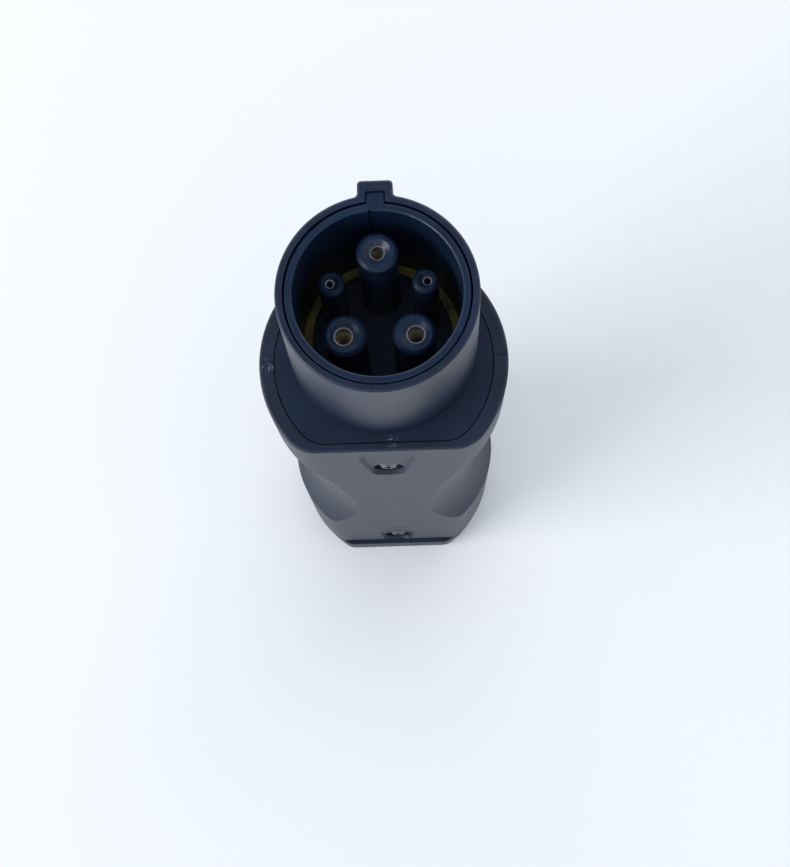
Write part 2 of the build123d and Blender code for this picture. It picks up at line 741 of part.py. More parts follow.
for name, (x, y, pin_radius, pin_bottom, wire_radius) in pins.items():
    conductor_radius = wire_radius - insulation_thickness + conductor_gap
    with BuildPart() as pin:
        with BuildSketch(Plane.XY.offset(pin_bottom)):
            with Locations((x, y)):
                Circle(pin_radius)
        extrude(amount=inlet_floor_top - pin_bottom)
        fillet(pin.edges().group_by(Axis.Z)[0], pin_nose_round)
        with BuildSketch(Plane.XY.offset(recess_depth)):
            with Locations((x, y)):
                Circle(pin_radius + pin_shoulder)
        extrude(amount=inlet_floor)
        with BuildSketch(Plane.XY.offset(inlet_floor_top - pin_collar_height)):
            with Locations((x, y)):
                Circle(pin_radius + pin_collar_overhang)
        extrude(amount=pin_collar_height)
        with BuildSketch(Plane.XY.offset(inlet_floor_top)):
            with Locations((x, y)):
                Circle(conductor_radius + crimp_wall)
        extrude(amount=pin_crimp_top - inlet_floor_top)
        with BuildSketch(Plane.XY.offset(pin_crimp_top)):
            with Locations((x, y)):
                Circle(conductor_radius)
        extrude(amount=-crimp_bore_depth, mode=Mode.SUBTRACT)
        if "power" in name:
            with BuildSketch(Plane.XY.offset(pin_bottom)):
                with Locations((x, y)):
                    Circle(tip_stem_radius + contact_gap)
            extrude(amount=tip_stem_length + running_gap, mode=Mode.SUBTRACT)
    write(pin, name)

# Insulating tips that keep fingers off the two power pins

for name, (x, y, pin_radius, pin_bottom, wire_radius) in pins.items():
    if "power" in name:
        with BuildPart() as tip:
            with BuildSketch(Plane.XY.offset(pin_bottom - tip_length)):
                with Locations((x, y)):
                    Circle(pin_radius - pin_nose_round)
            extrude(amount=tip_length)
            fillet(tip.edges().group_by(Axis.Z)[0], tip_length / 3)
            with BuildSketch(Plane.XY.offset(pin_bottom)):
                with Locations((x, y)):
                    Circle(tip_stem_radius)
            extrude(amount=tip_stem_length)
        write(tip, name.replace("pin", "pin_tip"))

# Plate that holds the pins' collars down in the inlet's floor

with BuildPart() as pin_retainer:
    add(inlet_outline(inlet_floor_top, cup_wall - pin_retainer_inset))
    extrude(amount=pin_retainer_thickness)
    for x, y, pin_radius, pin_bottom, wire_radius in pins.values():
        crimp_radius = wire_radius - insulation_thickness + conductor_gap + crimp_wall
        with BuildSketch(Plane.XY.offset(inlet_floor_top)):
            with Locations((x, y)):
                Circle(crimp_radius + running_gap)
        extrude(amount=pin_retainer_thickness, mode=Mode.SUBTRACT)
    with BuildSketch(Plane.XY.offset(inlet_floor_top)):
        with Locations(*pin_retainer_screw_places):
            Circle(screw_shank_radius + screw_clearance)
    extrude(amount=pin_retainer_thickness, mode=Mode.SUBTRACT)
write(pin_retainer, "pin_retainer")

with BuildPart() as pin_retainer_screws:
    for x, y in pin_retainer_screw_places:
        with Locations((x, y, inlet_floor_top + pin_retainer_thickness)):
            add(cross_headed_screw(short_screw_length))
write(pin_retainer_screws, "pin_retainer_screws")

# Wires: insulated from crimp to crimp, with bared ends inside the crimp barrels,
# each with steps counted from the socket's crimp, then steps counted from the pin's crimp
wires = {
    "line_wire_1": ("line_socket_1", "inlet_power_pin_1", [(0, 0, -19.5)], [(0, 0, 13)]),
    "line_wire_2": ("line_socket_2", "inlet_power_pin_2", [(0, 0, -19.5)], [(0, 0, 13)]),
    "ground_wire": (
        "ground_socket",
        "inlet_ground_pin",
        [(0, 0, -2.9), (8.5, 1.4, -8), (7.6, -0.1, -20.5)],
        [(0, 6.5, 23), (0, 0, 9)],
    ),
    "pilot_wire": ("pilot_socket", "inlet_pilot_pin", [(0, 0, -5.5), (4.35, -5.6, -23.5)], [(0, 0, 11)]),
    "proximity_wire": (
        "proximity_socket",
        "inlet_proximity_pin",
        [(0, 0, -5.5), (-4.35, -5.6, -23.5)],
        [(0, 0, 11)],
    ),
}


def bend_radii(points):
    """The largest arc at each corner that its two runs allow."""
    radii = []
    for before, corner, after in zip(points, points[1:], points[2:]):
        run_in = corner - before
        run_out = after - corner
        turn = run_in.get_angle(run_out)
        radii.append(bend_share * min(run_in.length, run_out.length) / tan(radians(turn / 2)))
    return radii


for name, (socket_name, pin_name, upper_steps, lower_steps) in wires.items():
    socket_x, socket_y = sockets[socket_name][:2]
    pin_x, pin_y = pins[pin_name][:2]
    wire_radius = sockets[socket_name][-1]
    core_radius = wire_radius - insulation_thickness
    upper_end = Vector(socket_x, socket_y, crimp_end_height)
    lower_end = Vector(pin_x, pin_y, pin_crimp_top)
    upper_points = [upper_end + Vector(*step) for step in upper_steps]
    lower_points = [lower_end + Vector(*step) for step in lower_steps]
    points = [upper_end, *upper_points, *lower_points, lower_end]
    with BuildPart() as wire:
        with BuildLine() as route:
            FilletPolyline(*points, radius=bend_radii(points))
        with BuildSketch(Plane(origin=points[0], z_dir=(0, 0, -1))):
            Circle(wire_radius)
        sweep()
        with BuildSketch(Plane.XY.offset(crimp_end_height)):
            with Locations((socket_x, socket_y)):
                Circle(core_radius)
        extrude(amount=crimp_bore_depth - running_gap)
        with BuildSketch(Plane.XY.offset(pin_crimp_top)):
            with Locations((pin_x, pin_y)):
                Circle(core_radius)
        extrude(amount=-(crimp_bore_depth - running_gap))
    write(wire, name)

# Resistor between the proximity and ground crimp barrels

resistor_height = crimp_end_height + resistor_rise
proximity_at = Vector(*sockets["proximity_socket"][:2], resistor_height)
ground_at = Vector(*sockets["ground_socket"][:2], resistor_height)
lead_direction = (ground_at - proximity_at).normalized()
proximity_edge = signal_socket[-1] - insulation_thickness + conductor_gap + crimp_wall + contact_gap
ground_edge = ground_socket[-1] - insulation_thickness + conductor_gap + crimp_wall + contact_gap
lead_start = proximity_at + lead_direction * proximity_edge
lead_end = ground_at - lead_direction * ground_edge
with BuildPart() as proximity_resistor:
    with BuildSketch(Plane(origin=lead_start, z_dir=lead_direction)):
        Circle(lead_radius)
    extrude(amount=(lead_end - lead_start).length)
    body_start = (lead_start + lead_end) * 0.5 - lead_direction * (resistor_length / 2)
    with BuildSketch(Plane(origin=body_start, z_dir=lead_direction)):
        Circle(resistor_radius)
    extrude(amount=resistor_length)
write(proximity_resistor, "proximity_resistor")
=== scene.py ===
import math

import bpy
from mathutils import Matrix, Vector


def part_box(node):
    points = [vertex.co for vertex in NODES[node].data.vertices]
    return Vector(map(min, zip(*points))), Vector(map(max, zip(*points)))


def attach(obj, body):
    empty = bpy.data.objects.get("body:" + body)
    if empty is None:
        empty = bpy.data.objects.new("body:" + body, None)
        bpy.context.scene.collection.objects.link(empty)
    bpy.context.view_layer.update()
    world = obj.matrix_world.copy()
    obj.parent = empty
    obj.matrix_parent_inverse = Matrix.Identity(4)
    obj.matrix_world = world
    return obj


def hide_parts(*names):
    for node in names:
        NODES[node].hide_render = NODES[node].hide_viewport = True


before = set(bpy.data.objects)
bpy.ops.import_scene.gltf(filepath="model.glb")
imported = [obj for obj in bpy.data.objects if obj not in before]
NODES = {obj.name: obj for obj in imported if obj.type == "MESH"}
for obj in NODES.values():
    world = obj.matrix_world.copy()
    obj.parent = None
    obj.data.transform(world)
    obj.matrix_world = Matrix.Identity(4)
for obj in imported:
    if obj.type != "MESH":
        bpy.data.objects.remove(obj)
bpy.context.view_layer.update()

bl_info = {
    "name": "Charging adapter",
    "version": (1, 0, 0),
    "blender": (4, 5, 0),
    "location": "3D View > Sidebar > Adapter",
    "description": "Finishes a hand-size charging adapter round its CAD frame",
    "category": "Object",
}

MM = 0.001

# Facets of the baked pieces, and the angle past which their edges stay sharp
STRIP_LEVELS = 9
RING_SIDES = 48
HEAD_SIDES = 40
SHANK_SIDES = 24
COIL_SIDES = 20
RIDGE_SIDES = 4
SHARP_ANGLE = math.radians(35)

# Screws: rounded share of the head's height, the point's end as a share of the core's radius,
# and the turns left plain under the head
CROWN_SHARE = 0.35
POINT_SHARE = 0.2
PLAIN_TURNS = 1.5

# Screws: CAD node, axis that they lie on, side that their heads are on, and turn about X
SCREW_GROUPS = (
    ("body_screws", 1, -1, math.pi / 2),
    ("retainer_screws", 2, -1, math.pi),
    ("pin_retainer_screws", 2, 1, 0.0),
)
# Seen along that axis, the vertices of one screw are nearer together than this
SOLIDS_APART = 8 * MM
STEEL = (0.20, 0.22, 0.25)

# Plastic: feature sizes of its noises, its dust, and how much smoother the insulator is
CLOUD_SIZE = 9 * MM
SPECK_SIZE = 0.32 * MM
PATCH_SIZE = 16 * MM
PATCH_PLACE = (0.03, 0.01, 0.0)
SCUFF_SIZE = 0.4 * MM
GRAIN_SIZE = 0.22 * MM
DUST = (0.24, 0.28, 0.33, 1.0)
INSULATOR_SMOOTHER = 0.07

# Scuffs on the body and on the face plate: place, reach, and how their noise is stretched
BODY_SCUFFS = (
    ((-26.6 * MM, -5.0 * MM, 128 * MM), 2.2 * MM, (1.0, 0.25, 1.0)),
    ((1.5 * MM, -24.4 * MM, 128 * MM), 1.6 * MM, (0.5, 1.0, 1.0)),
)
PLATE_SCUFFS = (((1.5 * MM, -23.6 * MM, 128 * MM), 1.6 * MM, (0.5, 1.0, 1.0)),)

# Metal: size of its tarnish, and size, stretch and depth of its turning marks
TARNISH_SIZE = 1.6 * MM
TURNING_SIZE = 0.25 * MM
TURNING_STRETCH = (0.2, 0.2, 3.0)
TURNING_DEPTH = 0.004 * MM

# Rubber: size of its patches, and size and depth of its grain
RUBBER_PATCH_SIZE = 4 * MM
RUBBER_GRAIN_SIZE = 0.4 * MM
RUBBER_GRAIN_DEPTH = 0.01 * MM

# Inside the body: material, colour, its darker shade, roughness, and the nodes that wear it
INNER_LOOKS = (
    (
        "wire_sleeve_orange",
        (0.75, 0.22, 0.03, 1.0),
        (0.55, 0.14, 0.02, 1.0),
        0.45,
        ["line_wire_1", "line_wire_2"],
    ),
    ("wire_sleeve_green", (0.05, 0.35, 0.10, 1.0), (0.03, 0.24, 0.07, 1.0), 0.45, ["ground_wire"]),
    (
        "wire_sleeve_white",
        (0.75, 0.75, 0.72, 1.0),
        (0.6, 0.6, 0.57, 1.0),
        0.45,
        ["pilot_wire", "proximity_wire"],
    ),
    (
        "resistor_body",
        (0.55, 0.42, 0.25, 1.0),
        (0.42, 0.30, 0.16, 1.0),
        0.35,
        ["proximity_resistor"],
    ),
)

# Floor, and the dark card over the camera
FLOOR_HALF = 3.0
FLOOR_CLOUD_SIZE = 0.35
FLOOR_ROUGHNESS = 0.75
CARD_HEIGHT = 0.72
CARD_BACK = 0.22
CARD_CLOUD_SIZE = 0.2
CARD_DARK = (0.09, 0.15, 0.26, 1.0)
CARD_LIGHT = (0.11, 0.18, 0.31, 1.0)

# World and lamps: name, place, width, height and power of each
WORLD_COLOUR = (0.86, 0.93, 1.0, 1.0)
WORLD_STRENGTH = 0.76
LAMPS = (
    ("window", (-1.7, -0.6, 1.05), 1.3, 1.0, 26.0),
    ("far_window", (0.3, 1.5, 1.0), 2.8, 1.2, 15.0),
)
LAMP_TARGET = Vector((0.0, 0.0, 0.05))

# Camera: its place, and the directions of its picture's right and lower sides and of its view
CAMERA_PLACE = Vector((0.01064, -0.11987, 0.55052))
CAMERA_RIGHT = Vector((0.99933, -0.02594, -0.02600))
CAMERA_DOWN = Vector((-0.03113, -0.97391, -0.22479))
CAMERA_FORWARD = Vector((-0.01949, 0.22545, -0.97406))
SENSOR_WIDTH = 36.0
CLIP_START = 0.01


# Places taken from the frame

def low(node):
    """Lowest corner of a CAD node."""
    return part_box(node)[0]


def high(node):
    """Highest corner of a CAD node."""
    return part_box(node)[1]


def centre(node):
    """Middle of a CAD node's box."""
    return (low(node) + high(node)) / 2


def add_object(name, data):
    """A new object with its data, linked into the scene."""
    item = bpy.data.objects.new(name, data)
    bpy.context.scene.collection.objects.link(item)
    return item


# Shader nodes

def start_material(name):
    """A new material, its node tree and its Principled shader."""
    material = bpy.data.materials.new(name)
    material.use_nodes = True
    tree = material.node_tree
    tree.nodes.clear()
    output = tree.nodes.new("ShaderNodeOutputMaterial")
    shader = tree.nodes.new("ShaderNodeBsdfPrincipled")
    tree.links.new(shader.outputs["BSDF"], output.inputs["Surface"])
    return material, tree, shader


def object_noise(tree, size, detail, stretch=(1.0, 1.0, 1.0), place=(0.0, 0.0, 0.0)):
    """Noise in object space whose features are about as large as size, in metres."""
    coordinates = tree.nodes.new("ShaderNodeTexCoord")
    mapping = tree.nodes.new("ShaderNodeMapping")
    noise = tree.nodes.new("ShaderNodeTexNoise")
    mapping.inputs["Scale"].default_value = stretch
    mapping.inputs["Location"].default_value = place
    noise.inputs["Scale"].default_value = 1.0 / size
    noise.inputs["Detail"].default_value = detail
    tree.links.new(coordinates.outputs["Object"], mapping.inputs["Vector"])
    tree.links.new(mapping.outputs["Vector"], noise.inputs["Vector"])
    return noise.outputs["Fac"]


def ramp(tree, value, first, last):
    """A colour ramp over a value between two stops, each a position and a colour."""
    node = tree.nodes.new("ShaderNodeValToRGB")
    for element, (position, colour) in zip(node.color_ramp.elements, (first, last)):
        element.position = position
        element.color = colour
    tree.links.new(value, node.inputs["Fac"])
    return node.outputs["Color"]


def mask(tree, value, start, end):
    """A mask that rises from 0 to 1 as a value goes from start to end."""
    return ramp(tree, value, (start, (0.0, 0.0, 0.0, 1.0)), (end, (1.0, 1.0, 1.0, 1.0)))


def fade(tree, place, reach):
    """A mask in object space: 1 at a place, fading to 0 at a reach from it."""
    coordinates = tree.nodes.new("ShaderNodeTexCoord")
    distance = tree.nodes.new("ShaderNodeVectorMath")
    distance.operation = "DISTANCE"
    distance.inputs[1].default_value = place
    tree.links.new(coordinates.outputs["Object"], distance.inputs[0])
    node = tree.nodes.new("ShaderNodeMapRange")
    node.inputs["From Max"].default_value = reach
    node.inputs["To Min"].default_value = 1.0
    node.inputs["To Max"].default_value = 0.0
    tree.links.new(distance.outputs["Value"], node.inputs["Value"])
    return node.outputs["Result"]


def spread(tree, value, start, end):
    """A value between 0 and 1 mapped to run from start to end."""
    node = tree.nodes.new("ShaderNodeMapRange")
    node.inputs["To Min"].default_value = start
    node.inputs["To Max"].default_value = end
    tree.links.new(value, node.inputs["Value"])
    return node.outputs["Result"]


def mix(tree, share, socket, colour):
    """The colour of a socket, mixed with a plain colour by a share."""
    node = tree.nodes.new("ShaderNodeMix")
    node.data_type = "RGBA"
    node.inputs["B"].default_value = colour
    tree.links.new(share, node.inputs["Factor"])
    tree.links.new(socket, node.inputs["A"])
    return node.outputs["Result"]


def combine(tree, operation, first, second):
    """Two values joined by a math operation."""
    node = tree.nodes.new("ShaderNodeMath")
    node.operation = operation
    tree.links.new(first, node.inputs[0])
    tree.links.new(second, node.inputs[1])
    return node.outputs["Value"]


def bump(tree, shader, height, distance):
    """Give the shader's normal a bump of a real depth, in metres."""
    node = tree.nodes.new("ShaderNodeBump")
    node.inputs["Strength"].default_value = 1.0
    node.inputs["Distance"].default_value = distance
    tree.links.new(height, node.inputs["Height"])
    tree.links.new(node.outputs["Normal"], shader.inputs["Normal"])


def tint(colour, share):
    """A colour made lighter or darker, opaque."""
    return (colour[0] * share, colour[1] * share, colour[2] * share, 1.0)


# Geometry trees

class Recipe:
    """A geometry tree built step by step, whose shape is set on each point of its object."""

    def __init__(self, name, inputs):
        self.tree = bpy.data.node_groups.new(name, "GeometryNodeTree")
        sockets = self.tree.interface
        sockets.new_socket("Geometry", in_out="INPUT", socket_type="NodeSocketGeometry")
        for label, kind in inputs.items():
            sockets.new_socket(label, in_out="INPUT", socket_type="NodeSocket" + kind)
        sockets.new_socket("Geometry", in_out="OUTPUT", socket_type="NodeSocketGeometry")
        self.given = self.tree.nodes.new("NodeGroupInput").outputs

    def add(self, kind, inputs, **settings):
        """Add a node with its settings and its inputs, by name or number; its first output."""
        node = self.tree.nodes.new(kind)
        for name, value in settings.items():
            setattr(node, name, value)
        for key, value in inputs.items():
            for single in value if isinstance(value, list) else [value]:
                if isinstance(single, bpy.types.NodeSocket):
                    self.tree.links.new(single, node.inputs[key])
                else:
                    node.inputs[key].default_value = single
        return node.outputs[0]

    def calculate(self, operation, first, second):
        """The result of a math operation on numbers or sockets."""
        return self.add("ShaderNodeMath", {0: first, 1: second}, operation=operation)

    def times(self, first, second):
        """The product of two numbers or sockets."""
        return self.calculate("MULTIPLY", first, second)

    def less(self, first, second):
        """The first number or socket less the second."""
        return self.calculate("SUBTRACT", first, second)

    def vector(self, x=0.0, y=0.0, z=0.0):
        """A vector of numbers or sockets."""
        return self.add("ShaderNodeCombineXYZ", {"X": x, "Y": y, "Z": z})

    def raised(self, shape, z):
        """A shape moved up by a number or socket."""
        move = self.vector(z=z)
        return self.add("GeometryNodeTransform", {"Geometry": shape, "Translation": move})

    def joined(self, *shapes):
        """Several shapes as one."""
        return self.add("GeometryNodeJoinGeometry", {"Geometry": list(reversed(shapes))})

    def finish(self, shape):
        """Set the shape on the object's points, make it real and give it its material."""
        given = self.given
        turn = self.add("FunctionNodeEulerToRotation", {"Euler": given["Turn"]})
        placed = self.add(
            "GeometryNodeInstanceOnPoints",
            {"Points": given["Geometry"], "Instance": shape, "Rotation": turn},
        )
        real = self.add("GeometryNodeRealizeInstances", {"Geometry": placed})
        done = self.add(
            "GeometryNodeSetMaterial", {"Geometry": real, "Material": given["Material"]}
        )
        output = self.tree.nodes.new("NodeGroupOutput")
        self.tree.links.new(done, output.inputs["Geometry"])
        return self.tree


def louvred_spring_tree():
    """A crown spring: two end rings joined by waisted strips."""
    recipe = Recipe(
        "louvred_spring",
        {
            "Louvres": "Int",
            "Radius": "Float",
            "Length": "Float",
            "Thickness": "Float",
            "Waist": "Float",
            "Ring": "Float",
            "Strip share": "Float",
            "Turn": "Vector",
            "Material": "Material",
        },
    )
    given = recipe.given
    middle = recipe.less(given["Radius"], recipe.times(given["Thickness"], 0.5))
    pitch = recipe.calculate("DIVIDE", math.tau, given["Louvres"])
    width = recipe.times(recipe.times(pitch, middle), given["Strip share"])
    free = recipe.less(given["Length"], given["Ring"])
    end = recipe.times(free, 0.5)

    # One strip, bent inwards most at its middle
    strip = recipe.add(
        "GeometryNodeMeshCube",
        {
            "Size": recipe.vector(given["Thickness"], width, free),
            "Vertices X": 2,
            "Vertices Y": 2,
            "Vertices Z": STRIP_LEVELS,
        },
    )
    place = recipe.add("GeometryNodeInputPosition", {})
    level = recipe.tree.nodes.new("ShaderNodeSeparateXYZ")
    recipe.tree.links.new(place, level.inputs["Vector"])
    share = recipe.calculate("DIVIDE", level.outputs["Z"], end)
    dip = recipe.less(recipe.times(share, share), 1.0)
    inwards = recipe.vector(recipe.times(dip, given["Waist"]))
    bent = recipe.add("GeometryNodeSetPosition", {"Geometry": strip, "Offset": inwards})

    # The strips round the axis
    circle = recipe.add(
        "GeometryNodeMeshCircle", {"Vertices": given["Louvres"], "Radius": middle}
    )
    number = recipe.add("GeometryNodeInputIndex", {})
    angle = recipe.vector(z=recipe.times(number, pitch))
    facing = recipe.add("FunctionNodeEulerToRotation", {"Euler": angle})
    strips = recipe.add(
        "GeometryNodeInstanceOnPoints", {"Points": circle, "Instance": bent, "Rotation": facing}
    )

    # The end rings
    path = recipe.add(
        "GeometryNodeCurvePrimitiveCircle", {"Resolution": RING_SIDES, "Radius": middle}
    )
    section = recipe.add(
        "GeometryNodeCurvePrimitiveQuadrilateral",
        {"Width": given["Thickness"], "Height": given["Ring"]},
    )
    ring = recipe.add("GeometryNodeCurveToMesh", {"Curve": path, "Profile Curve": section})
    upper = recipe.raised(ring, end)
    lower = recipe.raised(ring, recipe.times(end, -1.0))
    return recipe.finish(recipe.joined(strips, upper, lower))


def threaded_screw_tree():
    """A pan-head screw with a cross recess and a thread, its head's underside at zero."""
    recipe = Recipe(
        "threaded_screw",
        {
            "Head radius": "Float",
            "Head height": "Float",
            "Cross length": "Float",
            "Cross width": "Float",
            "Cross depth": "Float",
            "Thread radius": "Float",
            "Length": "Float",
            "Pitch": "Float",
            "Turn": "Vector",
            "Material": "Material",
        },
    )
    given = recipe.given

    # The head: a disc with a chamfered crown, less the cross
    crown_height = recipe.times(given["Head height"], CROWN_SHARE)
    straight = recipe.less(given["Head height"], crown_height)
    disc = recipe.add(
        "GeometryNodeMeshCylinder",
        {"Vertices": HEAD_SIDES, "Radius": given["Head radius"], "Depth": straight},
    )
    crown = recipe.add(
        "GeometryNodeMeshCone",
        {
            "Vertices": HEAD_SIDES,
            "Radius Top": recipe.less(given["Head radius"], crown_height),
            "Radius Bottom": given["Head radius"],
            "Depth": crown_height,
        },
    )
    head = recipe.add(
        "GeometryNodeMeshBoolean",
        {
            "Mesh 2": [
                recipe.raised(disc, recipe.times(straight, 0.5)),
                recipe.raised(crown, straight),
            ]
        },
        operation="UNION",
    )
    depth = recipe.times(given["Cross depth"], 2.0)
    length, width = given["Cross length"], given["Cross width"]
    bars = []
    for x, y in ((length, width), (width, length)):
        bar = recipe.add("GeometryNodeMeshCube", {"Size": recipe.vector(x, y, depth)})
        bars.append(recipe.raised(bar, given["Head height"]))
    cut = recipe.add(
        "GeometryNodeMeshBoolean", {"Mesh 1": head, "Mesh 2": bars}, operation="DIFFERENCE"
    )

    # The shank and its point, as long as the thread's radius
    flank = recipe.times(given["Pitch"], 0.5)
    core_radius = recipe.less(given["Thread radius"], flank)
    shank_length = recipe.less(given["Length"], given["Thread radius"])
    core = recipe.add(
        "GeometryNodeMeshCylinder",
        {"Vertices": SHANK_SIDES, "Radius": core_radius, "Depth": shank_length},
    )
    core = recipe.raised(core, recipe.times(shank_length, -0.5))
    point = recipe.add(
        "GeometryNodeMeshCone",
        {
            "Vertices": SHANK_SIDES,
            "Radius Top": core_radius,
            "Radius Bottom": recipe.times(core_radius, POINT_SHARE),
            "Depth": given["Thread radius"],
        },
    )
    point = recipe.raised(point, recipe.times(given["Length"], -1.0))

    # The thread: a ridge swept along a coil
    run = recipe.less(shank_length, recipe.times(given["Pitch"], PLAIN_TURNS))
    coil = recipe.add(
        "GeometryNodeCurveSpiral",
        {
            "Resolution": COIL_SIDES,
            "Rotations": recipe.calculate("DIVIDE", run, given["Pitch"]),
            "Start Radius": core_radius,
            "End Radius": core_radius,
            "Height": run,
        },
    )
    coil = recipe.raised(coil, recipe.times(shank_length, -1.0))
    ridge = recipe.add(
        "GeometryNodeCurvePrimitiveCircle", {"Resolution": RIDGE_SIDES, "Radius": flank}
    )
    thread = recipe.add(
        "GeometryNodeCurveToMesh", {"Curve": coil, "Profile Curve": ridge, "Fill Caps": True}
    )
    return recipe.finish(recipe.joined(cut, core, point, thread))


def bake(name, tree, points, values):
    """Run a geometry tree on some points and keep the result as a plain mesh object."""
    mesh = bpy.data.meshes.new(name + "_points")
    mesh.from_pydata(points, [], [])
    source = add_object(name + "_source", mesh)
    modifier = source.modifiers.new("shape", "NODES")
    modifier.node_group = tree
    for item in tree.interface.items_tree:
        if item.in_out == "INPUT" and item.name in values:
            modifier[item.identifier] = values[item.name]
    graph = bpy.context.evaluated_depsgraph_get()
    baked = bpy.data.meshes.new_from_object(source.evaluated_get(graph), depsgraph=graph)
    bpy.data.objects.remove(source)
    if not baked.polygons:
        raise RuntimeError("the tree made no faces for " + name)
    baked.validate()
    baked.shade_smooth()
    baked.set_sharp_from_angle(angle=SHARP_ANGLE)
    baked.name = name
    return add_object(name, baked)


def seats(node, axis):
    """Box corners of each separate solid in a CAD node, told apart by looking along an axis."""
    groups = []
    for vertex in NODES[node].data.vertices:
        spot = vertex.co.copy()
        spot[axis] = 0.0
        same = [group for group in groups if (group[0] - spot).length < SOLIDS_APART]
        if same:
            same[0][1].append(vertex.co)
        else:
            groups.append((spot, [vertex.co]))
    corners = []
    for _, places in groups:
        lowest = Vector([min(place[i] for place in places) for i in range(3)])
        highest = Vector([max(place[i] for place in places) for i in range(3)])
        corners.append((lowest, highest))
    return corners


# Materials

def moulded_plastic(name, colour, roughness, grain_depth, scuffs=(), shine=0.5):
    """Moulded plastic with a fine grain, faint cloudiness, a little pale dust and scuffs."""
    material, tree, shader = start_material(name)
    cloud = object_noise(tree, CLOUD_SIZE, 4.0)
    base = ramp(tree, cloud, (0.35, tint(colour, 0.85)), (0.65, tint(colour, 1.2)))
    specks = mask(tree, object_noise(tree, SPECK_SIZE, 1.0), 0.735, 0.775)
    patches = mask(tree, object_noise(tree, PATCH_SIZE, 2.0, place=PATCH_PLACE), 0.42, 0.62)
    worn = combine(tree, "MULTIPLY", specks, patches)
    for place, reach, stretch in scuffs:
        marks = mask(tree, object_noise(tree, SCUFF_SIZE, 2.0, stretch), 0.56, 0.64)
        scuff = combine(tree, "MULTIPLY", marks, fade(tree, place, reach))
        worn = combine(tree, "MAXIMUM", worn, scuff)
    tree.links.new(mix(tree, worn, base, DUST), shader.inputs["Base Color"])
    shader.inputs["Specular IOR Level"].default_value = shine
    dullness = spread(tree, cloud, roughness - 0.04, roughness + 0.05)
    tree.links.new(dullness, shader.inputs["Roughness"])
    bump(tree, shader, object_noise(tree, GRAIN_SIZE, 2.0), grain_depth)
    return material


def plated_metal(name, colour, roughness, metallic=1.0):
    """Plated contact metal with fine turning marks round its axis and slight tarnish."""
    material, tree, shader = start_material(name)
    tarnish = object_noise(tree, TARNISH_SIZE, 4.0)
    base = ramp(tree, tarnish, (0.3, tint(colour, 0.72)), (0.7, tint(colour, 1.05)))
    tree.links.new(base, shader.inputs["Base Color"])
    dullness = spread(tree, tarnish, roughness + 0.1, roughness - 0.05)
    tree.links.new(dullness, shader.inputs["Roughness"])
    turning = object_noise(tree, TURNING_SIZE, 2.0, stretch=TURNING_STRETCH)
    bump(tree, shader, turning, TURNING_DEPTH)
    shader.inputs["Metallic"].default_value = metallic
    return material


def soft_rubber(name, colour, shade, roughness):
    """Silicone or rubber, darker in patches."""
    material, tree, shader = start_material(name)
    patches = object_noise(tree, RUBBER_PATCH_SIZE, 3.0)
    base = ramp(tree, patches, (0.35, shade), (0.65, colour))
    tree.links.new(base, shader.inputs["Base Color"])
    dullness = spread(tree, patches, roughness, roughness + 0.1)
    tree.links.new(dullness, shader.inputs["Roughness"])
    bump(tree, shader, object_noise(tree, RUBBER_GRAIN_SIZE, 2.0), RUBBER_GRAIN_DEPTH)
    return material


def dull_sheet(name, size, dark, light, roughness):
    """Paper or felt, faintly cloudy between two colours."""
    material, tree, shader = start_material(name)
    base = ramp(tree, object_noise(tree, size, 1.0), (0.3, dark), (0.7, light))
    tree.links.new(base, shader.inputs["Base Color"])
    shader.inputs["Roughness"].default_value = roughness
    return material


# Settings

def colour_setting(name, description, default):
    """A colour that the panel shows."""
    return bpy.props.FloatVectorProperty(
        name=name,
        description=description,
        default=default,
        size=3,
        min=0.0,
        max=1.0,
        subtype="COLOR",
    )


def share_setting(name, description, default, least=0.0):
    """A share up to 1 that the panel shows."""
    return bpy.props.FloatProperty(
        name=name, description=description, default=default, min=least, max=1.0, subtype="FACTOR"
    )


def length_setting(name, description, default):
    """A length that the panel shows."""
    return bpy.props.FloatProperty(
        name=name, description=description, default=default, min=0.0, unit="LENGTH"
    )


class AdapterBodySettings(bpy.types.PropertyGroup):
    colour: colour_setting("Body colour", "Colour of the moulded body", (0.004, 0.012, 0.032))
    roughness: share_setting("Roughness", "Roughness of the moulded body", 0.46)
    grain: length_setting("Grain depth", "Depth of the moulded grain", 0.012 * MM)


class AdapterNozzleSettings(bpy.types.PropertyGroup):
    colour: colour_setting("Nozzle colour", "Colour of the nozzle", (0.003, 0.011, 0.034))
    roughness: share_setting("Roughness", "Roughness of the nozzle", 0.4)
    insulator_colour: colour_setting(
        "Insulator colour",
        "Colour of the liner, the cavity and the insulating tubes",
        (0.005, 0.015, 0.040),
    )
    shine: share_setting("Insulator shine", "Specular level of the insulator", 0.42)
    gasket_colour: colour_setting(
        "Gasket colour", "Colour of the ring at the bottom of the nozzle", (0.42, 0.35, 0.06)
    )


class AdapterContactSettings(bpy.types.PropertyGroup):
    silver: colour_setting(
        "Contact colour", "Colour of the plated sockets and pins", (0.60, 0.60, 0.58)
    )
    gold: colour_setting("Spring colour", "Colour of the crown springs", (0.95, 0.84, 0.62))
    louvres: bpy.props.IntProperty(
        name="Louvres", description="Strips in each crown spring", default=18, min=6, max=40
    )
    strip_share: share_setting(
        "Strip share", "Width of a strip as a share of its pitch", 0.72, least=0.1
    )
    thickness: length_setting("Thickness", "Thickness of the spring's sheet", 0.14 * MM)
    waist: length_setting("Waist", "How far the strips bend inwards", 0.3 * MM)
    ring: length_setting("Ring height", "Height of the spring's end rings", 0.9 * MM)


